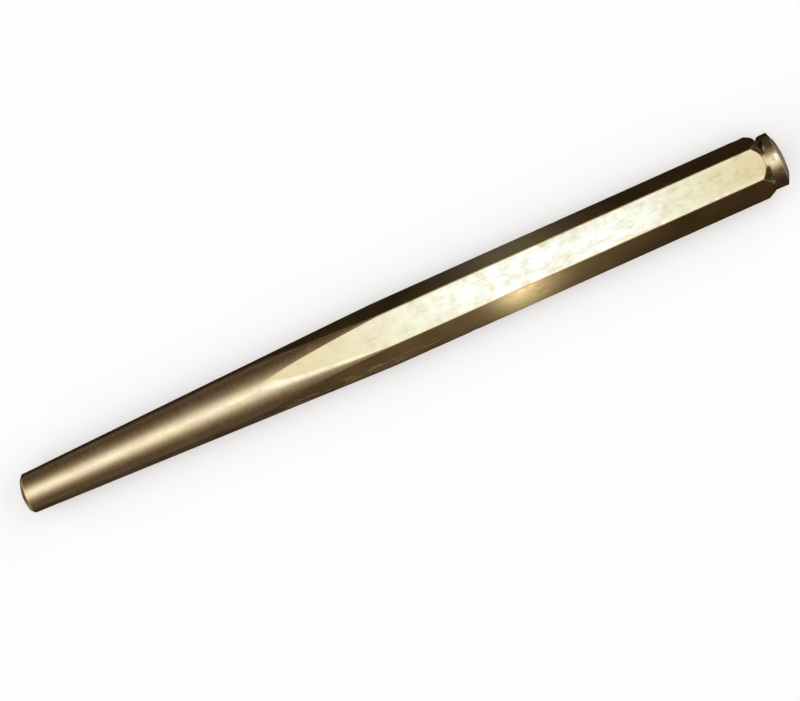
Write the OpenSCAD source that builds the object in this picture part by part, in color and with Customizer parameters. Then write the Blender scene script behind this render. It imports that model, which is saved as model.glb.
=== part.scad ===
// Brass drift punch, made from one length of hexagonal brass bar.
// The working end is turned to a long taper, and the struck end to a short round head.
// It lies on one flat with its axis along X, the tip towards -X and the head towards +X.
// The origin is under the middle of its length, on the surface that it lies on.

/* [Bar] */
// Size of the hexagonal bar, across its flats
across_flats = 19.05; // [15:0.05:25]
// Length from the tip to the striking face
overall_length = 271; // [200:0.5:400]
// How much is skimmed off each sharp corner of the hexagon, which leaves a narrow round land along the edge
edge_skim = 0.1; // [0.02:0.01:0.4]

/* [Working end] */
// Diameter of the taper at the tip
tip_diameter = 13.3; // [6:0.1:16]
// Angle between the taper and the axis
taper_angle = 1.88; // [1.2:0.02:4]
// Chamfer round the tip
tip_chamfer = 1.3; // [0.2:0.1:2]

/* [Striking end] */
// How far the side of the round head lies inside the flats of the bar
head_inset = 0.3; // [0.1:0.05:1.5]
// Length of the round head, from the foot of the shoulder to the striking face
head_length = 6; // [3:0.1:15]
// Width of the bevel round the striking face, measured across the axis
bevel_width = 3.6; // [0.5:0.1:5]
// Height of that bevel, measured along the axis
bevel_height = 1.6; // [0.3:0.1:2.5]
// Angle between the shoulder and the axis
shoulder_angle = 28; // [20:1:60]
// Radius of the small round groove at the foot of the shoulder
neck_radius = 0.4; // [0.2:0.05:0.8]

/* [Hidden] */
$fn = 96;

// Brass as the photo shows it
brass = [0.85, 0.72, 0.42];

// Distances from the axis to the flats, the sharp corners, the skimmed edges and the turned ends
flat_reach = across_flats / 2;
corner_reach = across_flats / sqrt(3);
edge_reach = corner_reach - edge_skim;
tip_reach = tip_diameter / 2;
head_reach = flat_reach - head_inset;

// How fast the taper grows, and its length from the tip to where it meets the edges
taper_slope = tan(taper_angle);
taper_length = (edge_reach - tip_reach) / taper_slope;

// The shoulder falls from the edges of the bar to the side of the head
shoulder_foot = overall_length - head_length;
shoulder_start = shoulder_foot - (edge_reach - head_reach) / tan(shoulder_angle);

// The shape that a lathe leaves, from the tip at zero up to the striking face
module turned_shape() {
    difference() {
        rotate_extrude()
            polygon([
                [0, 0],
                [tip_reach - tip_chamfer, 0],
                [tip_reach + taper_slope * tip_chamfer, tip_chamfer],
                [edge_reach, taper_length],
                [edge_reach, shoulder_start],
                [head_reach, shoulder_foot],
                [head_reach, overall_length - bevel_height],
                [head_reach - bevel_width, overall_length],
                [0, overall_length]
            ]);
        neck_groove();
    }
}

// Round relief at the foot of the shoulder
module neck_groove() {
    rotate_extrude()
        translate([head_reach, shoulder_foot])
            circle(r = neck_radius);
}

// The bar as it comes, with flats towards +X and -X
module hexagonal_bar() {
    linear_extrude(overall_length)
        rotate(30)
            circle(r = corner_reach, $fn = 6);
}

// The whole tool: hexagonal where the bar is left as it came, round where it was turned
module drift_punch() {
    color(brass)
        translate([-overall_length / 2, 0, flat_reach])
            rotate([0, 90, 0])
                intersection() {
                    turned_shape();
                    hexagonal_bar();
                }
}

drift_punch();
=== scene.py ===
"""Brass drift punch: its finished surface, its wear and a small studio round it."""

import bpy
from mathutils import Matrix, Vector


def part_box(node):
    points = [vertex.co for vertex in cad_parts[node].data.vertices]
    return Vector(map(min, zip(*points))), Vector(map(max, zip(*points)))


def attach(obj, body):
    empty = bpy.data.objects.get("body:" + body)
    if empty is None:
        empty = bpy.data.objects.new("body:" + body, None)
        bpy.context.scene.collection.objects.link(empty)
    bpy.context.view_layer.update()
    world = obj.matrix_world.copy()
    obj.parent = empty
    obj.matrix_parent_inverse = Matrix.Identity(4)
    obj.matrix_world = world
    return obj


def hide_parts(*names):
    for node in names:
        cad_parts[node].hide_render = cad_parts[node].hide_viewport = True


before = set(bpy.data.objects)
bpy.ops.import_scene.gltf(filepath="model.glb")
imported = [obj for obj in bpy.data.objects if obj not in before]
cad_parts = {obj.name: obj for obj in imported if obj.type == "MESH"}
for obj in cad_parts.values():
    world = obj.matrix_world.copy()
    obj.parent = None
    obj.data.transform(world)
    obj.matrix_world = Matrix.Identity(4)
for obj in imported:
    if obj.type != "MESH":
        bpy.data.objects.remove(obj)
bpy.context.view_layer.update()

import math
import random

import bmesh
import bpy
from bpy.props import FloatProperty, FloatVectorProperty, IntProperty, PointerProperty
from mathutils import Euler, Matrix, Vector, kdtree, noise

bl_info = {
    "name": "Brass Drift Punch",
    "version": (1, 0, 0),
    "blender": (4, 5, 0),
    "location": "3D View > Sidebar > Drift Punch",
    "description": "Makes a worn brass drift punch turned from hexagonal bar, and a studio to show it in",
    "category": "Object",
}

MM = 0.001
NODE = "drift_punch"
LOW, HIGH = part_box(NODE)

# The bar is spun in columns: each sixth of the turn has two mirrored halves with this many columns,
# and the crease between a flat and the turned surface follows the column with the second number
HALF_COLUMNS = 18
CREASE_COLUMN = 14
SIXTH = math.radians(60)
HALF_SIXTH = math.radians(30)

# Angle of that column where the columns are evenly spaced, and how closely they crowd beside the crease
EVEN_CREASE = HALF_SIXTH * CREASE_COLUMN / HALF_COLUMNS
CROWDING = 0.75

# Points closer together than this are one point
SAME_PLACE = 0.001 * MM

# How many dents there are: on each edge, on the taper, round the rim of the head, and on the two ends
EDGE_NICKS = 5
TAPER_DINGS = 16
RIM_NICKS = 10
FACE_MARKS = 34
TIP_MARKS = 16

# Places of the nicks on the front flat, in millimetres along the bar
FRONT_NICKS = (-38.2, -23.6, 9.8, 47.0, -60.0)

# In metres: radius of the floor and the backdrop, heights of the backdrop and its foot, and side of the mat
STAGE_RADIUS = 4.0
WALL_HEIGHT = 3.0
WALL_FOOT = -0.1
MAT_SIDE = 5.4

# How far the floor and the mat lie below the punch
FLOOR_DROP = 0.08 * MM
MAT_DROP = 0.04 * MM

# Patches of painted light on the mat, in millimetres: the middle of each, its spread, and then its
# brightness
FRONT_GLEAMS = (
    ((40, -56), (8.5, 16), 1.65),
    ((54, -46), (6, 4), 0.3),
    ((42, -50), (30, 20), 0.1),
    ((-16, -34), (16, 2.2), 0.09),
)
BACK_GLINTS = (((42, 30), (20, 10), 0.115),)

# Direction in which the soft light from above is brightest, and its colours by the degrees from there
SKY_MIDDLE = (-0.05, -0.12, 0.9915)
SKY_COLOURS = (
    (90, (0.042, 0.03, 0.025)),
    (65, (0.075, 0.055, 0.044)),
    (55, (0.11, 0.085, 0.071)),
    (42, (0.199, 0.174, 0.157)),
    (35, (0.314, 0.299, 0.29)),
    (28, (0.502, 0.502, 0.5)),
    (20, (0.715, 0.735, 0.757)),
    (15, (0.812, 0.848, 0.88)),
    (8, (0.925, 1.05, 1.185)),
    (0, (1.14, 1.42, 1.85)),
)


# Settings

# What all the lengths share, and what all the colours do
LENGTH = {"unit": "LENGTH", "precision": 5}
COLOUR = {"size": 3, "subtype": "COLOR", "min": 0.0, "max": 1.0}


class PunchSizes(bpy.types.PropertyGroup):
    """Sizes of the punch, as its CAD model has them."""

    length: FloatProperty(
        name="Length", description="From the tip to the striking face", default=HIGH.x - LOW.x, **LENGTH)
    across_flats: FloatProperty(
        name="Across Flats", description="Size of the hexagonal bar", default=HIGH.z - LOW.z, **LENGTH)
    edge_skim: FloatProperty(
        name="Edge Skim", description="How much is skimmed off each sharp corner of the hexagon",
        default=0.1 * MM, **LENGTH)
    tip_diameter: FloatProperty(
        name="Tip Diameter", description="Diameter of the taper at the tip", default=13.3 * MM, **LENGTH)
    taper_angle: FloatProperty(
        name="Taper Angle", description="Angle between the taper and the axis",
        default=math.radians(1.88), unit="ROTATION")
    tip_chamfer: FloatProperty(
        name="Tip Chamfer", description="Chamfer round the tip", default=1.3 * MM, **LENGTH)
    head_inset: FloatProperty(
        name="Head Inset", description="How far the side of the head lies inside the flats",
        default=0.3 * MM, **LENGTH)
    head_length: FloatProperty(
        name="Head Length", description="From the foot of the shoulder to the striking face",
        default=6.0 * MM, **LENGTH)
    bevel_width: FloatProperty(
        name="Bevel Width", description="Bevel round the striking face, measured across the axis",
        default=3.6 * MM, **LENGTH)
    bevel_height: FloatProperty(
        name="Bevel Height", description="Bevel round the striking face, measured along the axis",
        default=1.6 * MM, **LENGTH)
    shoulder_angle: FloatProperty(
        name="Shoulder Angle", description="Angle between the shoulder and the axis",
        default=math.radians(28), unit="ROTATION")
    neck_radius: FloatProperty(
        name="Neck Radius", description="Round groove at the foot of the shoulder",
        default=0.4 * MM, **LENGTH)


class PunchWear(bpy.types.PropertyGroup):
    """How far use has changed the punch."""

    edge_blend: FloatProperty(
        name="Edge Blend", description="How far the crease between a flat and a turned surface is rounded",
        default=0.035 * MM, **LENGTH)
    burr_cut: FloatProperty(
        name="Burr Cut", description="How deep a file has broken one edge of each flat beside the taper",
        default=0.11 * MM, **LENGTH)
    burr_lean: FloatProperty(
        name="Burr Lean", description="Angle between a flat and its filed edge",
        default=math.radians(9), unit="ROTATION")
    tip_cut: FloatProperty(
        name="Tip Cut", description="How far one side of the tip is dressed back, out of square",
        default=0.9 * MM, **LENGTH)
    face_cut: FloatProperty(
        name="Face Cut", description="How far hammer blows have pushed back one side of the striking face",
        default=0.5 * MM, **LENGTH)
    rim_spread: FloatProperty(
        name="Rim Spread", description="How far hammer blows have spread the rim of the head",
        default=0.12 * MM, **LENGTH)
    neck_cut: FloatProperty(
        name="Neck Cut", description="How much deeper the groove at the neck is on one side",
        default=0.6 * MM, **LENGTH)
    seed: IntProperty(
        name="Seed", description="Starting number for the places of nicks and dents", default=11)


class PunchFinish(bpy.types.PropertyGroup):
    """Colours of the brass."""

    drawn: FloatVectorProperty(
        name="Drawn Brass", description="Brass of the flats, as the bar was drawn",
        default=(0.893, 0.70, 0.36), **COLOUR)
    turned: FloatVectorProperty(
        name="Turned Brass", description="Brass of the taper and the head, as the lathe left it",
        default=(0.97, 0.78, 0.49), **COLOUR)
    tarnish_tint: FloatVectorProperty(
        name="Tarnish", description="What tarnish leaves of the colour",
        default=(0.80, 0.80, 0.77), **COLOUR)
    red_tint: FloatVectorProperty(
        name="Red Tint", description="What coppery clouds leave of the colour",
        default=(1.0, 0.91, 0.97), **COLOUR)
    olive_tint: FloatVectorProperty(
        name="Olive Tint", description="What olive clouds leave of the colour",
        default=(0.95, 1.0, 0.92), **COLOUR)
    gold_tint: FloatVectorProperty(
        name="Gold Tint", description="What golden clouds leave of the colour",
        default=(1.0, 0.985, 0.86), **COLOUR)
    grey_tint: FloatVectorProperty(
        name="Grey Tint", description="What greyed clouds leave of the colour",
        default=(0.96, 0.96, 1.0), **COLOUR)
    end_tint: FloatVectorProperty(
        name="End Tint", description="What the duller ends of the flats keep of the colour",
        default=(0.93, 0.90, 0.825), **COLOUR)
    # Painted shade: this darkens the side of the head, standing in for its darker reflections
    head_shade_tint: FloatVectorProperty(
        name="Head Tint", description="What the duller side of the head keeps of the colour",
        default=(0.87, 0.86, 0.85), **COLOUR)
    # Partly patina on the shoulder, partly painted shade past the neck towards +Y
    patina_and_shade_colour: FloatVectorProperty(
        name="Stain", description="Dark brown skin on the shoulder, where no hand or blow rubs it",
        default=(0.058, 0.032, 0.011), **COLOUR)
    worn: FloatVectorProperty(
        name="Worn Brass", description="Brass rubbed bare along the edges and by scuffs",
        default=(0.93, 0.82, 0.56), **COLOUR)
    grime: FloatVectorProperty(
        name="Grime", description="Dirt in grooves, pits and scratches",
        default=(0.20, 0.135, 0.07), **COLOUR)
    gloss: FloatProperty(
        name="Roughness", description="Roughness of clean brass", default=0.22, subtype="FACTOR",
        min=0.0, max=1.0)


class StudioSetup(bpy.types.PropertyGroup):
    """The camera, the floor, the mat and the lights."""

    camera_place: FloatVectorProperty(
        name="Camera Place", description="Where the camera stands", size=3,
        default=(0.045, -0.12446, 1.2), subtype="TRANSLATION", **LENGTH)
    camera_turn: FloatVectorProperty(
        name="Camera Turn", description="How the camera is turned", size=3,
        default=(math.radians(4.2093), math.radians(4.4159), math.radians(-23.8323)),
        subtype="EULER", unit="ROTATION")
    lens: FloatProperty(
        name="Lens", description="Focal length in millimetres", default=165.29, unit="CAMERA")
    floor_colour: FloatVectorProperty(
        name="Floor", description="Colour of the floor", default=(0.883, 0.897, 0.914), **COLOUR)
    floor_lift: FloatProperty(
        name="Floor Lift", description="How far the floor is lifted towards white where it is seen",
        default=0.42)
    # The mat glows and only reflections show it: painted shadow close to the punch and painted light further
    # out
    mat_colour: FloatVectorProperty(
        name="Mat", description="Brown mat round the punch, which only reflections show",
        default=(0.092, 0.073, 0.060), **COLOUR)
    painted_shadow_colour: FloatVectorProperty(
        name="Shade", description="The mat close to the punch, where it lies in shade",
        default=(0.0205, 0.0155, 0.0095), **COLOUR)
    # Painted shade past the two ends of the punch, which the head bevel and the tip chamfer reflect
    end_colour: FloatVectorProperty(
        name="Mat Ends", description="The mat past the two ends of the punch",
        default=(0.14, 0.147, 0.163), **COLOUR)
    tip_colour: FloatVectorProperty(
        name="Mat Tip", description="The mat just past the tip of the punch",
        default=(0.25, 0.23, 0.19), **COLOUR)
    far_colour: FloatVectorProperty(
        name="Mat Far Tip", description="The mat further past the tip, which the chamfer shows",
        default=(0.070, 0.070, 0.060), **COLOUR)
    backdrop_colour: FloatVectorProperty(
        name="Backdrop", description="Colour of the wall round the floor",
        default=(0.9, 0.9, 0.9), **COLOUR)
    lamp_place: FloatVectorProperty(
        name="Lamp Place", description="Where the lamp over the middle of the bar hangs", size=3,
        default=(0.060, 0.157, 1.5), subtype="TRANSLATION", **LENGTH)
    lamp_size: FloatProperty(
        name="Lamp Size", description="Side of the square lamp", default=0.16, **LENGTH)
    lamp_level: FloatProperty(
        name="Lamp Level", description="Brightness of the lamp", default=5.4)
    lamp_colour: FloatVectorProperty(
        name="Lamp Colour", description="Cool colour of the lamp", default=(0.12, 0.32, 1.0), **COLOUR)
    sky_level: FloatProperty(
        name="Overhead Level", description="Brightness of the soft light from above", default=1.16)
    end_light: FloatVectorProperty(
        name="End Light", description="Warm light past the two ends", default=(1.0, 0.93, 0.80), **COLOUR)
    panel_level: FloatProperty(
        name="Panel Level", description="Brightness of the soft panel on each side", default=1.05)
    end_level: FloatProperty(
        name="End Level", description="Brightness of the soft light past the two ends", default=1.05)


# Shader maths


class Wire:
    """An output of a shader node. Arithmetic on it adds Math nodes."""

    def __init__(self, bench, socket):
        self.bench = bench
        self.socket = socket

    def out(self, name):
        """Another output of the same node."""
        return Wire(self.bench, pick(self.socket.node.outputs, name))

    def maths(self, operation, *values):
        """A Math node on these values."""
        return self.bench.node("ShaderNodeMath", {"operation": operation}, dict(enumerate(values)))

    def __add__(self, other):
        return self.maths("ADD", self, other)

    def __radd__(self, other):
        return self.maths("ADD", other, self)

    def __sub__(self, other):
        return self.maths("SUBTRACT", self, other)

    def __rsub__(self, other):
        return self.maths("SUBTRACT", other, self)

    def __mul__(self, other):
        return self.maths("MULTIPLY", self, other)

    def __rmul__(self, other):
        return self.maths("MULTIPLY", other, self)

    def __truediv__(self, other):
        return self.maths("DIVIDE", self, other)

    def __rtruediv__(self, other):
        return self.maths("DIVIDE", other, self)

    def __pow__(self, other):
        return self.maths("POWER", self, other)

    def __rpow__(self, other):
        return self.maths("POWER", other, self)

    def __abs__(self):
        return self.maths("ABSOLUTE", self)


class Bench:
    """A node tree and the one way that nodes are added to it."""

    def __init__(self, tree):
        self.tree = tree
        self.tree.nodes.clear()

    def node(self, kind, settings=None, sockets=None, output=0):
        """Adds a node: its settings first, then the values or links of its sockets."""
        made = self.tree.nodes.new(kind)
        for name, value in (settings or {}).items():
            if name == "stops":
                set_stops(made.color_ramp, value)
            else:
                setattr(made, name, value)
        for name, value in (sockets or {}).items():
            socket = pick(made.inputs, name)
            if isinstance(value, Wire):
                self.tree.links.new(value.socket, socket)
            else:
                socket.default_value = value
        if not made.outputs:
            return made
        return Wire(self, pick(made.outputs, output))

    def place(self):
        """Where a point lies on its own object."""
        return self.node("ShaderNodeTexCoord", output="Object")

    def split(self, vector):
        """The three numbers of a vector."""
        first = self.node("ShaderNodeSeparateXYZ", sockets={"Vector": vector})
        return first, first.out("Y"), first.out("Z")

    def glow(self, colour):
        """Light as bright as its colour."""
        return self.node("ShaderNodeEmission", sockets={"Color": shade(colour), "Strength": 1.0})

    def show(self, surface):
        """Ends a material with its surface."""
        self.node("ShaderNodeOutputMaterial", sockets={"Surface": surface})

    def rise(self, value, low, high):
        """Zero at low, one at high, and a smooth rise between them."""
        return self.node(
            "ShaderNodeMapRange", {"interpolation_type": "SMOOTHSTEP"},
            {"Value": value, "From Min": low, "From Max": high})

    def mix(self, amount, first, second, way="MIX"):
        """The first colour, with an amount of the second."""
        return self.node(
            "ShaderNodeMix", {"data_type": "RGBA", "blend_type": way},
            {"Factor_Float": amount, "A_Color": shade(first), "B_Color": shade(second)},
            output="Result_Color")

    def dim(self, colour, amount):
        """A colour times a number."""
        return self.node("ShaderNodeVectorMath", {"operation": "SCALE"}, {0: colour, "Scale": amount})


def pick(sockets, name):
    """A socket by its number, its identifier or its name."""
    if isinstance(name, int):
        return sockets[name]
    for socket in sockets:
        if socket.identifier == name:
            return socket
    return sockets[name]


def set_stops(ramp, stops):
    """Gives a colour ramp its stops: places and colours."""
    while len(ramp.elements) < len(stops):
        ramp.elements.new(0.5)
    for element, (place, colour) in zip(ramp.elements, stops):
        element.position = place
        element.color = shade(colour)


def shade(colour):
    """A colour with its fourth number. One that comes from a node stays as it is."""
    if isinstance(colour, Wire):
        return colour
    return (*colour, 1.0)


def new_material(name):
    """A new material, and the bench for its nodes."""
    material = bpy.data.materials.new(name)
    material.use_nodes = True
    return material, Bench(material.node_tree)


# Shape of the punch


def smooth_step(low, high, value):
    """Zero below low, one above high, and a smooth rise between them."""
    part = min(max((value - low) / (high - low), 0.0), 1.0)
    return part * part * (3.0 - 2.0 * part)


def smooth_lower(first, second, blend):
    """The lower of two numbers, rounded where they are nearly equal."""
    overlap = max(blend - abs(first - second), 0.0) / blend
    return min(first, second) - overlap * overlap * blend / 4.0


class Outline:
    """Distances that the outline of the punch is drawn from."""

    def __init__(self, sizes):
        self.axis_height = sizes.across_flats / 2
        self.flat_reach = sizes.across_flats / 2
        self.edge_reach = sizes.across_flats / math.sqrt(3) - sizes.edge_skim
        self.tip_reach = sizes.tip_diameter / 2
        self.head_reach = self.flat_reach - sizes.head_inset
        self.tip = -sizes.length / 2
        self.face = sizes.length / 2
        self.slope = math.tan(sizes.taper_angle)
        self.run_out = self.tip + (self.flat_reach - self.tip_reach) / self.slope
        self.taper_end = self.tip + (self.edge_reach - self.tip_reach) / self.slope
        self.neck = self.face - sizes.head_length
        self.groove = sizes.neck_radius
        self.fall = math.tan(sizes.shoulder_angle)
        self.flat_end = self.neck - (self.flat_reach - self.head_reach) / self.fall
        self.shoulder = self.neck - (self.edge_reach - self.head_reach) / self.fall
        self.bevel = self.face - sizes.bevel_height

    def corners(self, sizes):
        """Corners of the half outline: place along the axis, distance from it and rounding."""
        groove = self.groove
        lip = sizes.shoulder_angle
        chamfer = sizes.tip_chamfer
        return [
            (self.tip, 0.0, 0.0),
            (self.tip, self.tip_reach - chamfer, 0.35 * MM),
            (self.tip + chamfer, self.tip_reach + self.slope * chamfer, 0.16 * MM),
            (self.run_out, self.flat_reach, 0.0),
            (self.taper_end, self.edge_reach, 0.0),
            (self.shoulder, self.edge_reach, 0.3 * MM),
            (self.flat_end, self.flat_reach, 0.0),
            (self.neck - groove * math.cos(lip), self.head_reach + groove * math.sin(lip), 0.1 * MM),
            (self.neck - groove, self.head_reach, 0.0),
            (self.neck - groove, self.head_reach - groove, 0.97 * groove),
            (self.neck + groove, self.head_reach - groove, 0.97 * groove),
            (self.neck + groove, self.head_reach, 0.12 * MM),
            (self.bevel, self.head_reach, 0.1 * MM),
            (self.face, self.head_reach - sizes.bevel_width, 1.2 * MM),
            (self.face, 0.0, 0.0),
        ]

    def spacing(self, along):
        """How far apart the rings of points are, at a place along the axis."""
        if along < self.tip + 2 * MM or along > self.shoulder - 1 * MM:
            return 0.34 * MM
        if along < self.run_out - 12 * MM:
            return 1.6 * MM
        if along < self.taper_end + 2 * MM:
            return 0.65 * MM
        return 1.05 * MM

    def crease(self, along, reach):
        """Angle from the middle of a flat to the column that follows the crease."""
        least = math.radians(6)
        if reach > self.flat_reach:
            return max(math.acos(self.flat_reach / reach), least)
        if along < self.run_out:
            narrowed = smooth_step(self.run_out - 30 * MM, self.run_out, along)
            return EVEN_CREASE + (least - EVEN_CREASE) * narrowed
        return least + (EVEN_CREASE - least) * smooth_step(self.flat_end, self.neck, along)


def draw_half_outline(bm, sizes, outline):
    """Draws the half outline as a wire above the axis, rounds its corners and divides it."""
    corners = outline.corners(sizes)
    points = [bm.verts.new((along, 0.0, outline.axis_height + reach)) for along, reach, _ in corners]
    for pair in zip(points, points[1:]):
        bm.edges.new(pair)
    for point, (_, _, rounding) in zip(points, corners):
        if rounding > 0:
            bmesh.ops.bevel(
                bm, geom=[point], offset=rounding, offset_type="OFFSET", segments=5, profile=0.5,
                affect="VERTICES", material=-1)
    for edge in list(bm.edges):
        middle = (edge.verts[0].co.x + edge.verts[1].co.x) / 2
        cuts = int(edge.calc_length() / outline.spacing(middle))
        if cuts > 0:
            bmesh.ops.subdivide_edges(bm, edges=[edge], cuts=cuts)


def sort_by_place(bm):
    """Orders points and faces by their places, because spinning leaves them in another order each run."""
    points = sorted(bm.verts, key=lambda point: tuple(point.co))
    faces = sorted(bm.faces, key=lambda face: tuple(face.calc_center_median()))
    for items in (points, faces):
        for number, item in enumerate(items):
            item.index = number
    bm.verts.sort()
    bm.faces.sort()


def column_angle(even, crease):
    """Moves an evenly spaced angle so that columns crowd beside the crease and one lies on it."""
    share = even / EVEN_CREASE
    if share < 1.0:
        return crease * (share + CROWDING * (share - share * share))
    rest = (even - EVEN_CREASE) / (HALF_SIXTH - EVEN_CREASE)
    return crease + (HALF_SIXTH - crease) * rest


def break_edge(outline, wear, along, reach, angle):
    """Distance from the axis that a file leaves on one edge of a flat, where it runs out onto the taper.

    The cut fades where the crease is shallow, and towards the end of the taper.
    """
    if angle > 0.0 or reach <= outline.flat_reach:
        return reach
    crease = math.acos(outline.flat_reach / reach)
    lean = min(wear.burr_lean, crease / 2)
    depth = wear.burr_cut * smooth_step(math.radians(3), math.radians(9), crease)
    depth *= 1.0 - smooth_step(outline.taper_end - 12 * MM, outline.taper_end - 2 * MM, along)
    ridge = reach * math.cos(crease - lean)
    return min(reach, (ridge - depth) / math.cos(-angle - lean))


def mill_flats(bm, outline, wear, flatness):
    """Presses the six flats of the bar into the turned shape, and notes where they are."""
    for point in bm.verts:
        along, across, up = point.co
        up -= outline.axis_height
        reach = math.hypot(across, up)
        if reach < SAME_PLACE:
            continue
        turn = math.atan2(across, up)
        flat = round(turn / SIXTH) * SIXTH
        off = turn - flat
        angle = math.copysign(column_angle(abs(off), outline.crease(along, reach)), off)
        limit = outline.flat_reach / math.cos(angle)
        if along < outline.taper_end:
            reach = break_edge(outline, wear, along, reach, angle)
        point[flatness] = smooth_step(-0.02 * MM, 0.02 * MM, reach - limit)
        reach = smooth_lower(reach, limit, wear.edge_blend)
        point.co.y = reach * math.sin(flat + angle)
        point.co.z = reach * math.cos(flat + angle) + outline.axis_height


def note_shoulder(bm, outline, flatness, stained):
    """Notes the dark brown patina on the turned shoulder, which leaves its foot clear in front of each flat,
    and painted shade that reaches further past the neck towards +Y.
    """
    for point in bm.verts:
        along, across, up = point.co
        turn = math.atan2(across, up - outline.axis_height)
        off = abs(turn - round(turn / SIXTH) * SIXTH)
        beside = smooth_step(math.radians(9), math.radians(15), off)
        rise = smooth_step(outline.shoulder - 0.5 * MM, outline.shoulder + 0.5 * MM, along)
        # Painted shade: towards +Y the dark brown reaches 1.4 mm further past the neck, darkening the far
        # wall of the deeper groove
        deep = outline.neck + 1.4 * MM * smooth_step(0.15, 0.9, math.sin(turn))
        fall = smooth_step(deep + 0.2 * MM, deep + 0.7 * MM, along)
        foot = smooth_step(outline.neck - 0.8 * MM, outline.neck - 0.4 * MM, along)
        point[stained] = rise * (1.0 - fall) * (1.0 - point[flatness]) * (1.0 - foot * (1.0 - beside))


def cut_neck(bm, outline, wear):
    """Deepens the groove at the foot of the shoulder on one side, and fills it with dirt round the rest."""
    spread = 0.8 * MM
    for point in bm.verts:
        along, across, up = point.co
        up -= outline.axis_height
        reach = math.hypot(across, up)
        off = (along - outline.neck) / spread
        if abs(off) > 2.5 or reach < outline.head_reach / 2:
            continue
        cut = smooth_step(0.15, 0.9, across / reach)
        fill = 0.0
        if abs(along - outline.neck) < outline.groove:
            level = outline.head_reach + max(outline.neck - along, 0.0) * outline.fall
            fill = 0.85 * max(level - reach, 0.0) * (1.0 - cut)
        grow = (reach + fill - wear.neck_cut * cut * math.exp(-off * off)) / reach
        point.co.y = across * grow
        point.co.z = up * grow + outline.axis_height


def dress_ends(bm, outline, wear, end_face):
    """Cuts the tip out of square, and spreads and tilts the head as hammer blows do."""
    for point in bm.verts:
        along, across, up = point.co
        up -= outline.axis_height
        reach = math.hypot(across, up)
        on_tip = along < outline.tip + 0.02 * MM
        on_face = along > outline.face - 0.02 * MM
        point[end_face] = 1.0 if on_tip or on_face else 0.0
        near_tip = 1.0 - smooth_step(outline.tip, outline.tip + 6 * MM, along)
        if near_tip > 0:
            side = smooth_step(-0.3 * outline.tip_reach, outline.tip_reach, across)
            ripple = 0.03 * MM * noise.noise(Vector((along, across, up)) * 700)
            point.co.x += near_tip * (wear.tip_cut * side + abs(ripple))
        near_face = smooth_step(outline.neck + 1.2 * MM, outline.face, along)
        if near_face > 0:
            tilt = smooth_step(-0.1 * outline.head_reach, outline.head_reach, across + 0.2 * up)
            lumps = noise.noise(Vector((0.0, across, up)) * 330) * 0.5 + 0.5
            point.co.x -= near_face * (wear.face_cut * tilt + 0.05 * MM * lumps)
        rim = smooth_step(outline.neck + 1 * MM, outline.bevel - 0.3 * MM, along)
        rim *= 1.0 - smooth_step(outline.bevel - 0.1 * MM, outline.bevel + 0.9 * MM, along)
        if rim > 0 and reach > 0:
            uneven = 0.55 + 0.9 * noise.noise(Vector((3.0, across / reach, up / reach)) * 1.7)
            grow = 1.0 + rim * wear.rim_spread * uneven / reach
            point.co.y = across * grow
            point.co.z = up * grow + outline.axis_height


def press_dents(bm, dents):
    """Presses round dents into the surface: each has a place, a width, a depth and a direction."""
    tree = kdtree.KDTree(len(bm.verts))
    points = list(bm.verts)
    for number, point in enumerate(points):
        tree.insert(point.co, number)
    tree.balance()
    moves = {}
    for place, width, depth, direction in dents:
        for _, number, distance in tree.find_range(place, width):
            fade = 1.0 - (distance / width) ** 2
            moves[number] = moves.get(number, Vector()) + direction * (depth * fade * fade)
    for number, move in moves.items():
        points[number].co += move


def plan_dents(outline, wear):
    """Chooses nicks along the edges and the front flat, dings on the taper and hammer marks on both ends."""
    chance = random.Random(wear.seed)
    dents = []

    def on_side(along, turn, reach, width, depth):
        inward = Vector((0.0, -math.sin(turn), -math.cos(turn)))
        place = Vector((along, 0.0, outline.axis_height)) - inward * reach
        dents.append((place, width, depth, inward))

    for edge in range(6):
        for _ in range(EDGE_NICKS):
            along = chance.uniform(outline.taper_end, outline.shoulder - 2 * MM)
            turn = (edge + 0.5) * SIXTH + math.radians(chance.uniform(-2, 2))
            width = chance.uniform(0.9, 2.3) * MM
            on_side(along, turn, outline.edge_reach, width, width * chance.uniform(0.03, 0.065))
    for _ in range(TAPER_DINGS):
        along = chance.uniform(outline.tip + 3 * MM, outline.run_out)
        reach = outline.tip_reach + (along - outline.tip) * outline.slope
        width = chance.uniform(1.6, 2.8) * MM
        on_side(along, chance.uniform(0, math.tau), reach, width, width * chance.uniform(0.010, 0.022))
    for _ in range(RIM_NICKS):
        along = chance.uniform(outline.bevel - 1.5 * MM, outline.bevel)
        width = chance.uniform(0.7, 1.5) * MM
        turn = chance.uniform(0, math.tau)
        on_side(along, turn, outline.head_reach, width, width * chance.uniform(0.04, 0.10))
    for along in FRONT_NICKS:
        turn = -SIXTH + math.radians(chance.uniform(-9, 4))
        place = outline.flat_reach / math.cos(turn + SIXTH)
        on_side(along * MM, turn, place, 1.3 * MM, chance.uniform(0.04, 0.08) * MM)
    ends = ((outline.face, outline.head_reach, FACE_MARKS), (outline.tip, outline.tip_reach, TIP_MARKS))
    for end, reach, count in ends:
        inward = Vector((-math.copysign(1.0, end), 0.0, 0.0))
        for _ in range(count):
            turn = chance.uniform(0, math.tau)
            away = reach * math.sqrt(chance.uniform(0, 0.9))
            place = Vector((end, away * math.sin(turn), away * math.cos(turn) + outline.axis_height))
            width = chance.uniform(0.9, 2.4) * MM
            dents.append((place, width, width * chance.uniform(0.03, 0.08), inward))
    return dents


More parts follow.
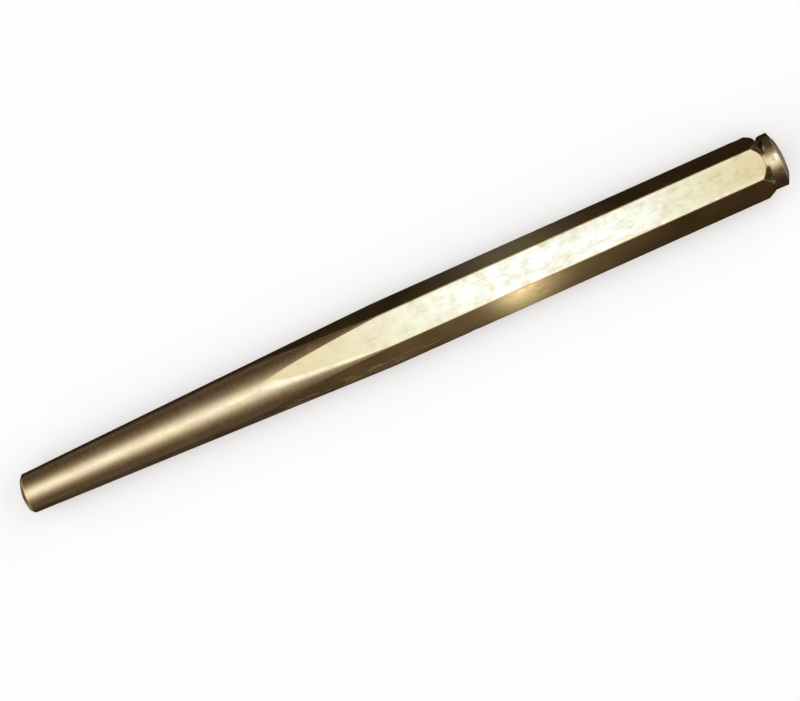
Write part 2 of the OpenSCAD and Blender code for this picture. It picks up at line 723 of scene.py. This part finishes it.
def note_wear(bm, worn, grimy):
    """Notes how far each point stands out of its neighbours or lies below them, smoothed three times."""
    slight = 0.03
    strong = 0.16
    bm.normal_update()
    bm.verts.index_update()
    levels = []
    for point in bm.verts:
        rise = 0.0
        for edge in point.link_edges:
            step = point.co - edge.other_vert(point).co
            rise = max(rise, step.normalized().dot(point.normal), key=abs)
        levels.append(rise)
    for _ in range(3):
        around = [
            sum(levels[edge.other_vert(point).index] for edge in point.link_edges) / len(point.link_edges)
            for point in bm.verts]
        levels = [0.5 * own + 0.5 * near for own, near in zip(levels, around)]
    for point in bm.verts:
        point[worn] = smooth_step(slight, strong, levels[point.index])
        point[grimy] = smooth_step(slight, strong, -levels[point.index])


def make_punch_mesh(sizes, outline, wear):
    """Turns the punch, mills its flats and wears it."""
    bm = bmesh.new()
    flatness = bm.verts.layers.float.new("flat")
    end_face = bm.verts.layers.float.new("end_face")
    worn = bm.verts.layers.float.new("worn")
    grimy = bm.verts.layers.float.new("grimy")
    stained = bm.verts.layers.float.new("stained")
    draw_half_outline(bm, sizes, outline)
    bmesh.ops.spin(
        bm, geom=list(bm.verts) + list(bm.edges), cent=(0.0, 0.0, outline.axis_height),
        axis=(1.0, 0.0, 0.0), dvec=(0.0, 0.0, 0.0), angle=math.tau, steps=12 * HALF_COLUMNS,
        use_merge=True, use_duplicate=False)
    bmesh.ops.remove_doubles(bm, verts=bm.verts, dist=SAME_PLACE)
    sort_by_place(bm)
    bmesh.ops.recalc_face_normals(bm, faces=bm.faces)
    mill_flats(bm, outline, wear, flatness)
    note_shoulder(bm, outline, flatness, stained)
    cut_neck(bm, outline, wear)
    dress_ends(bm, outline, wear, end_face)
    press_dents(bm, plan_dents(outline, wear))
    bmesh.ops.recalc_face_normals(bm, faces=bm.faces)
    note_wear(bm, worn, grimy)
    for face in bm.faces:
        face.smooth = True
    if not all(edge.is_manifold for edge in bm.edges):
        raise RuntimeError("the punch is not closed")
    mesh = bpy.data.meshes.new("punch")
    bm.to_mesh(mesh)
    bm.free()
    return mesh


# Brass


class BrassSkin:
    """Marks on the surface of the punch, and the colour, the roughness and the height that they give it."""

    def __init__(self, bench, outline):
        self.bench = bench
        self.outline = outline
        self.place = bench.place()
        self.along, self.across, height = bench.split(self.place)
        self.up = height - outline.axis_height
        self.reach = (self.across * self.across + self.up * self.up) ** 0.5
        self.flat = self.attribute("flat")
        self.end_face = self.attribute("end_face")
        self.stained = self.attribute("stained")
        self.clouds = self.grain((75, 110, 110), detail=3.0)
        self.spots = self.grain((420, 620, 620), detail=3.0, shift=(2.2, 5.3, 0.4))
        self.lines = self.tool_marks()
        self.tarnish = self.tarnish_clouds()
        self.scratches = self.slanted_scratches()
        self.pits = self.small_pits()
        self.scuffs = self.scuffed_streaks()
        self.bare = self.bare_edges()
        self.dirt = bench.rise(
            self.attribute("grimy") * 0.5 + self.pits * 0.6 + self.scratches * 0.12, 0.1, 1.0)
        head = bench.rise(self.along, outline.neck + 0.2 * MM, outline.neck + 0.6 * MM)
        self.headed = head * (1 - self.end_face)

    def attribute(self, name):
        """A number that the mesh holds at each of its points."""
        return self.bench.node("ShaderNodeAttribute", {"attribute_name": name}, output="Fac")

    def grain(self, scale, detail=2.0, turn=0.0, shift=(0.0, 0.0, 0.0), vector=None):
        """Noise with its own scale along each axis, turned about the upright one."""
        spread = self.bench.node("ShaderNodeMapping", sockets={
            "Vector": vector or self.place, "Location": shift, "Rotation": (0.0, 0.0, turn), "Scale": scale})
        return self.bench.node("ShaderNodeTexNoise", sockets={
            "Vector": spread, "Scale": 1.0, "Detail": detail, "Roughness": 0.6})

    def tool_marks(self):
        """Lines along the drawn flats, rings round the turned surfaces and circles on the ends."""
        coarse = self.grain((22, 1500, 1500), detail=4.0)
        drawn = coarse * 0.6 + self.grain((60, 4200, 4200), shift=(3.1, 0.7, 1.9)) * 0.4
        coarse = self.grain((1900, 26, 26), detail=4.0)
        ringed = coarse * 0.6 + self.grain((5200, 60, 60), shift=(1.3, 4.1, 0.2)) * 0.4
        polar = self.bench.node(
            "ShaderNodeCombineXYZ", sockets={"X": self.reach, "Y": self.across * 0.02, "Z": self.up * 0.02})
        circles = self.grain((1700, 900, 900), detail=4.0, vector=polar)
        side = drawn * self.flat + ringed * (1 - self.flat)
        return side * (1 - self.end_face) + circles * self.end_face

    def tarnish_clouds(self):
        """Tarnish in clouds, with small spots."""
        mottle = self.grain((230, 260, 260), shift=(4.4, 1.8, 7.3))
        mixed = self.clouds * 0.30 + mottle * 0.40 + self.spots * 0.30 + (self.lines - 0.5) * 0.08
        return self.bench.rise(mixed, 0.41, 0.68)

    def slanted_scratches(self):
        """Fine scratches at two slants."""
        one = self.grain((45, 2600, 2600), detail=1.0, turn=math.radians(17))
        two = self.grain((60, 2900, 2900), detail=1.0, turn=math.radians(-34), shift=(7.7, 1.2, 3.3))
        return self.bench.rise(one, 0.73, 0.80) + self.bench.rise(two, 0.745, 0.81)

    def small_pits(self):
        """Round pits among the spots."""
        cells = self.bench.node(
            "ShaderNodeTexVoronoi", {"feature": "F1"},
            {"Vector": self.place, "Scale": 520.0, "Randomness": 1.0}, output="Distance")
        return (1 - self.bench.rise(cells, 0.05, 0.16)) * self.bench.rise(self.spots, 0.56, 0.68)

    def scuffed_streaks(self):
        """Thin dull streaks in a band along the front flat, above its lower edge."""
        bench = self.bench
        front = bench.rise(self.across, -8.0 * MM, -8.7 * MM) * bench.rise(self.up, 1.2 * MM, 2.0 * MM)
        middle = bench.rise(self.along, 30 * MM, 5 * MM) * bench.rise(self.along, -52 * MM, -40 * MM)
        streaks = self.grain((130, 2400, 2400), detail=3.0, shift=(6.1, 2.9, 8.4))
        return front * middle * bench.rise(streaks, 0.50, 0.68)

    def bare_edges(self):
        """Edges that are rubbed bright in places, and less so at the two ends."""
        bench = self.bench
        face = self.outline.face
        at_ends = bench.rise(abs(self.along), face - 3.5 * MM, face - 2.3 * MM)
        rubbed = bench.rise(self.spots * 0.5 + self.clouds * 0.5, 0.28, 0.55)
        return self.attribute("worn") * rubbed * (1 - at_ends * 0.6)

    def colour(self, finish):
        """Tints that drift over the brass, then tarnish, dull ends, painted shade on the head, bare edges,
        patina with painted shade on the shoulder, and dirt.
        """
        bench = self.bench
        flat = self.flat
        flat_reach = self.outline.flat_reach
        edge_reach = self.outline.edge_reach
        wiped = flat * bench.rise(self.up, flat_reach - 0.725 * MM, flat_reach - 0.125 * MM)
        polished = flat * bench.rise(self.reach, edge_reach - 0.7 * MM, edge_reach - 0.2 * MM)
        near_head = bench.rise(self.along, 68 * MM, 120 * MM)
        near_taper = bench.rise(self.along, 10 * MM, -30 * MM)
        duller = (near_head + near_taper * 0.45) * (1 - polished * 0.7)
        drift_one = bench.rise(self.grain((150, 240, 240), shift=(9.1, 2.7, 6.6)), 0.38, 0.62)
        drift_two = bench.rise(self.grain((120, 200, 200), shift=(1.7, 8.2, 3.9)), 0.38, 0.62)
        red_or_olive = bench.mix(drift_one, finish.olive_tint, finish.red_tint)
        gold_or_grey = bench.mix(drift_two, finish.gold_tint, finish.grey_tint)
        drifting = 0.5 - flat * 0.1 - wiped * 0.18
        tarnished = self.tarnish * (0.65 - flat * 0.05 - wiped * (0.45 - duller * 0.4))
        lined = bench.rise(self.lines, 0.46, 0.30) * (0.4 - flat * 0.18)

        colour = bench.mix(flat, finish.turned, finish.drawn)
        colour = bench.mix(drifting, colour, red_or_olive, "MULTIPLY")
        colour = bench.mix(drifting, colour, gold_or_grey, "MULTIPLY")
        colour = bench.mix(tarnished, colour, finish.tarnish_tint, "MULTIPLY")
        colour = bench.mix(duller * flat, colour, finish.end_tint, "MULTIPLY")
        colour = bench.mix(lined, colour, finish.tarnish_tint, "MULTIPLY")
        # Painted shade: the side of the head is darkened, standing in for its darker reflections
        colour = bench.mix(self.headed, colour, finish.head_shade_tint, "MULTIPLY")
        colour = bench.mix(self.bare * 0.6 + self.scuffs * 0.5, colour, finish.worn)
        # Patina on the shoulder, and painted shade past the neck towards +Y
        colour = bench.mix(self.stained * (0.85 + self.spots * 0.2), colour, finish.patina_and_shade_colour)
        return bench.mix(self.dirt * 0.8, colour, finish.grime)

    def roughness(self, finish):
        """Rougher with tarnish, dirt, stains and scuffs, and smoother on bare edges and the head."""
        bench = self.bench
        bevel = self.outline.bevel
        rubs = bench.rise(self.grain((70, 800, 800), shift=(5.9, 0.3, 2.4)), 0.60, 0.72)
        battered = bench.rise(self.along, bevel - 0.3 * MM, bevel + 0.3 * MM) * self.headed
        rough = finish.gloss + self.tarnish * 0.08 + (self.lines - 0.5) * (0.18 - self.flat * 0.06)
        rough = rough + self.dirt * 0.25 + self.stained * 0.1 - self.bare * 0.07
        rough = rough + self.flat * (rubs * 0.06 - 0.03) - self.headed * 0.11 + battered * 0.16
        return rough + self.scuffs * 0.45

    def height(self):
        """Height of the fine marks."""
        return self.lines * 0.5 - self.scratches * 0.35 - self.pits * 0.8 + self.spots * 0.15


def brass_material(finish, outline):
    """Brass with drawn lines on the flats, turning marks, tarnish, scratches, pits and worn edges."""
    material, bench = new_material("worn brass")
    skin = BrassSkin(bench, outline)
    bump = bench.node(
        "ShaderNodeBump", sockets={"Strength": 1.0, "Distance": 0.005 * MM, "Height": skin.height()})
    surface = bench.node("ShaderNodeBsdfPrincipled", sockets={
        "Base Color": skin.colour(finish), "Metallic": 1.0, "Roughness": skin.roughness(finish),
        "Normal": bump})
    bench.show(surface)
    return material


# Studio


def floor_material(colour, lift):
    """Pale floor that keeps the shadow, and is lifted towards white where it is seen or reflected."""
    material, bench = new_material("pale floor")
    path = bench.node("ShaderNodeLightPath", output="Is Camera Ray")
    seen = path + path.out("Is Glossy Ray") + path.out("Is Transmission Ray")
    matt = bench.node("ShaderNodeBsdfDiffuse", sockets={"Color": shade(colour)})
    glow = bench.glow(bench.dim(colour, seen * lift))
    both = bench.node("ShaderNodeAddShader", sockets={0: matt, 1: glow})
    bench.show(both)
    return material


def backdrop_material(colour):
    """A plain pale glow."""
    material, bench = new_material("backdrop")
    bench.show(bench.glow(colour))
    return material


def painted_mat_material(setup):
    """Brown mat that glows and only reflections show: painted shadow close to the punch, painted light
    further out, and patches of painted light on both sides of the middle.

    It opens like an hourglass towards both sides of the punch, and past it the pale floor shows.
    """
    material, bench = new_material("mat")
    place = bench.place()
    along, across, _ = bench.split(place)
    away = abs(across)
    past = abs(along)

    def blotches(scale, shift):
        spread = bench.node("ShaderNodeMapping", sockets={
            "Vector": place, "Location": shift, "Scale": (scale, scale, scale)})
        return bench.node("ShaderNodeTexNoise", sockets={"Vector": spread, "Scale": 1.0, "Detail": 2.0})

    def patches(rows):
        total = 0.0
        for middle, spread, level in rows:
            far_along = (along - middle[0] * MM) / (spread[0] * MM)
            far_across = (across - middle[1] * MM) / (spread[1] * MM)
            total = total + math.e ** ((far_along ** 2.0 + far_across ** 2.0) * -1.0) * level
        return total

    # The mat beside the bar: painted shadow close to it and painted light further out, darker towards the
    # head, in uneven olive and reddish blotches
    front = bench.rise(across, 4 * MM, -12 * MM) * 0.42
    lit = front + (1 - front) * bench.rise(away, 33 * MM, 43 * MM)
    lit = lit * (1 - 0.63 * bench.rise(along, 50 * MM, 115 * MM))
    colour = bench.mix(lit, setup.painted_shadow_colour, setup.mat_colour)
    reddish = bench.rise(blotches(45.0, (0.3, 1.1, 0.0)), 0.36, 0.64)
    olive_tint = (0.88, 1.0, 0.72)
    red_tint = (1.12, 0.94, 1.10)
    colour = bench.mix(1.0, colour, bench.mix(reddish, olive_tint, red_tint), "MULTIPLY")
    lighter = bench.rise(blotches(60.0, (2.7, 0.4, 0.0)), 0.34, 0.66)
    colour = bench.dim(colour, 0.62 + 0.76 * lighter)

    # The mat past the two ends, painted as shade where the tip chamfer and the head bevel reflect it, and
    # the patches of painted light
    end = bench.mix(bench.rise(along, 0.0, -10 * MM), setup.end_colour, setup.tip_colour)
    end = bench.mix(bench.rise(along, -164 * MM, -182 * MM), end, setup.far_colour)
    colour = bench.mix(bench.rise(past - away * 0.4, 134 * MM, 145 * MM), colour, end)
    # Painted light: glowing patches on the mat, which the front and back flats reflect as gleams
    gleam_colour = (1.0, 0.98, 0.92)
    glint_colour = (0.95, 0.94, 1.0)
    colour = bench.mix(1.0, colour, bench.dim(gleam_colour, patches(FRONT_GLEAMS)), "ADD")
    colour = bench.mix(1.0, colour, bench.dim(glint_colour, patches(BACK_GLINTS)), "ADD")

    # The shape of the mat
    hourglass = 1 - bench.rise(past - away * 0.30, 150 * MM, 165 * MM)
    # Painted shade: a dark strip past the tip, which the tip chamfer reflects as a dark rim
    tip_strip = bench.rise(along, -120 * MM, -140 * MM) * bench.rise(away, 160 * MM, 80 * MM)
    tip_strip = tip_strip * bench.rise(past, 700 * MM, 500 * MM)
    cover = 1 - (1 - hourglass) * (1 - tip_strip)
    clear = bench.node("ShaderNodeBsdfTransparent")
    surface = bench.node("ShaderNodeMixShader", sockets={0: cover, 1: clear, 2: bench.glow(colour)})
    bench.show(surface)
    return material


def panel_material(setup):
    """Soft panel that is brightest in the middle and fades at its edges."""
    material, bench = new_material("panel")
    along, _, height = bench.split(bench.place())
    soft = bench.rise(along, -45 * MM, 20 * MM) * bench.rise(along, 120 * MM, 55 * MM)
    soft = soft * bench.rise(height, 0.0, 270 * MM) * bench.rise(height, 430 * MM, 360 * MM)
    glow = bench.glow(bench.dim(setup.end_light, soft * setup.panel_level))
    clear = bench.node("ShaderNodeBsdfTransparent")
    both = bench.node("ShaderNodeAddShader", sockets={0: clear, 1: glow})
    bench.show(both)
    return material


def add_stage_piece(name, bm, material):
    """Makes a stage object from a bmesh."""
    mesh = bpy.data.meshes.new(name)
    bm.to_mesh(mesh)
    bm.free()
    mesh.materials.append(material)
    piece = bpy.data.objects.new(name, mesh)
    bpy.context.scene.collection.objects.link(piece)
    return piece


def add_floor(setup):
    """Round pale floor, just under the mat."""
    bm = bmesh.new()
    bmesh.ops.create_circle(bm, cap_ends=True, segments=128, radius=STAGE_RADIUS)
    bmesh.ops.translate(bm, vec=(0.0, 0.0, -FLOOR_DROP), verts=bm.verts)
    add_stage_piece("floor", bm, floor_material(setup.floor_colour, setup.floor_lift))


def add_backdrop(setup):
    """Round wall that only the camera sees."""
    bm = bmesh.new()
    bmesh.ops.create_cone(bm, segments=128, radius1=STAGE_RADIUS, radius2=STAGE_RADIUS, depth=WALL_HEIGHT)
    bmesh.ops.translate(bm, vec=(0.0, 0.0, WALL_FOOT + WALL_HEIGHT / 2), verts=bm.verts)
    wall = add_stage_piece("backdrop", bm, backdrop_material(setup.backdrop_colour))
    wall.visible_diffuse = False
    wall.visible_glossy = False
    wall.visible_shadow = False
    wall.visible_transmission = False


def add_card(name, middle, size, material, turn=0.0):
    """A flat card that only reflections show, turned about the line along the punch."""
    bm = bmesh.new()
    bmesh.ops.create_grid(bm, x_segments=1, y_segments=1, size=0.5)
    bmesh.ops.scale(bm, vec=(size[0], size[1], 1.0), verts=bm.verts)
    bmesh.ops.rotate(bm, cent=(0.0, 0.0, 0.0), matrix=Matrix.Rotation(turn, 3, "X"), verts=bm.verts)
    bmesh.ops.translate(bm, vec=middle, verts=bm.verts)
    card = add_stage_piece(name, bm, material)
    card.visible_camera = False
    card.visible_diffuse = False
    card.visible_shadow = False
    card.visible_transmission = False


def add_panels(setup):
    """Two upright soft panels, one on each side of the punch."""
    width = 0.17
    height = 0.44
    along = 0.0375
    away = 0.3
    panel = panel_material(setup)
    for name, side in (("front_panel", -1.0), ("back_panel", 1.0)):
        add_card(name, (along, side * away, height / 2), (width, height), panel, math.radians(90))


def add_lamp(setup):
    """A square lamp that looks at the punch. Its level is its brightness, as a white card's is one."""
    light = bpy.data.lights.new("middle_lamp", "AREA")
    light.shape = "SQUARE"
    light.size = setup.lamp_size
    light.energy = setup.lamp_level * math.pi * setup.lamp_size ** 2
    light.color = setup.lamp_colour
    lamp = bpy.data.objects.new("middle_lamp", light)
    lamp.location = setup.lamp_place
    lamp.rotation_euler = Vector(setup.lamp_place).to_track_quat("Z", "Y").to_euler()
    lamp.visible_camera = False
    bpy.context.scene.collection.objects.link(lamp)


def add_camera(setup):
    """Camera with a long lens, looking down on the punch."""
    view = bpy.data.cameras.new("camera")
    view.lens = setup.lens
    view.sensor_width = 36.0
    view.clip_start = 0.01
    camera = bpy.data.objects.new("camera", view)
    camera.location = setup.camera_place
    camera.rotation_euler = Euler(setup.camera_turn, "XYZ")
    bpy.context.scene.collection.objects.link(camera)
    return camera


def set_world(setup):
    """Soft light from above that fades towards the sides of the punch, and soft light past its two ends."""
    world = bpy.data.worlds.new("studio")
    bpy.context.scene.world = world
    world.use_nodes = True
    bench = Bench(world.node_tree)
    direction = bench.node("ShaderNodeTexCoord", output="Generated")
    along, across, height = bench.split(direction)
    facing = bench.node(
        "ShaderNodeVectorMath", {"operation": "DOT_PRODUCT"}, {0: direction, 1: SKY_MIDDLE}, output="Value")
    stops = [(math.cos(math.radians(angle)), colour) for angle, colour in SKY_COLOURS]
    sky = bench.node("ShaderNodeValToRGB", {"stops": stops}, {"Fac": facing})
    past = abs(along)
    ends = bench.rise(past, 0.30, 0.60) * bench.rise(height, 0.04, 0.20) * bench.rise(height, 0.97, 0.80)
    slanted = bench.rise(abs(across) - past * 0.75, 0.0, 0.20)
    high = bench.rise(height, 0.34, 0.50)
    ends = ends * (1 - 0.5 * (1 - slanted) * (1 - high))
    ends = ends * (0.35 + 0.65 * bench.rise(height, 0.15, 0.60))
    warm = bench.dim(setup.end_light, ends * setup.end_level)
    colour = bench.mix(1.0, bench.dim(sky, setup.sky_level), warm, "ADD")
    light = bench.node("ShaderNodeBackground", sockets={"Color": colour, "Strength": 1.0})
    bench.node("ShaderNodeOutputWorld", sockets={"Surface": light})


# Operators


class DRIFTPUNCH_OT_make_punch(bpy.types.Operator):
    """Make the brass punch with its flats, taper, head and wear"""

    bl_idname = "drift_punch.make_punch"
    bl_label = "Make Punch"

    def execute(self, context):
        sizes = context.scene.punch_sizes
        outline = Outline(sizes)
        mesh = make_punch_mesh(sizes, outline, context.scene.punch_wear)
        mesh.materials.append(brass_material(context.scene.punch_finish, outline))
        punch = bpy.data.objects.new("punch", mesh)
        context.scene.collection.objects.link(punch)
        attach(punch, "root")
        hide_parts(NODE)
        return {"FINISHED"}


class DRIFTPUNCH_OT_set_stage(bpy.types.Operator):
    """Set the camera, the floor, the backdrop, the cards and the lights"""

    bl_idname = "drift_punch.set_stage"
    bl_label = "Set Stage"

    def execute(self, context):
        setup = context.scene.punch_studio
        context.scene.view_settings.view_transform = "Standard"
        context.scene.camera = add_camera(setup)
        add_floor(setup)
        add_backdrop(setup)
        # The mat: a glowing card of painted shade and painted light, which only reflections show
        add_card("mat", (0.0, 0.0, -MAT_DROP), (MAT_SIDE, MAT_SIDE), painted_mat_material(setup))
        add_panels(setup)
        add_lamp(setup)
        set_world(setup)
        return {"FINISHED"}


class DRIFTPUNCH_PT_panel(bpy.types.Panel):
    """Lists the settings and the operators"""

    bl_idname = "DRIFTPUNCH_PT_panel"
    bl_label = "Drift Punch"
    bl_space_type = "VIEW_3D"
    bl_region_type = "UI"
    bl_category = "Drift Punch"

    def draw(self, context):
        for group_name in GROUPS:
            group = getattr(context.scene, group_name)
            box = self.layout.box()
            for name in group.__annotations__:
                box.prop(group, name)
        self.layout.operator(DRIFTPUNCH_OT_make_punch.bl_idname)
        self.layout.operator(DRIFTPUNCH_OT_set_stage.bl_idname)


GROUPS = {
    "punch_sizes": PunchSizes,
    "punch_wear": PunchWear,
    "punch_finish": PunchFinish,
    "punch_studio": StudioSetup,
}
CLASSES = (*GROUPS.values(), DRIFTPUNCH_OT_make_punch, DRIFTPUNCH_OT_set_stage, DRIFTPUNCH_PT_panel)


def register():
    for item in CLASSES:
        bpy.utils.register_class(item)
    for name, group in GROUPS.items():
        setattr(bpy.types.Scene, name, PointerProperty(type=group))


def unregister():
    for name in GROUPS:
        delattr(bpy.types.Scene, name)
    for item in reversed(CLASSES):
        bpy.utils.unregister_class(item)


def main():
    register()
    bpy.ops.drift_punch.make_punch()
    bpy.ops.drift_punch.set_stage()


if __name__ == "__main__":
    main()
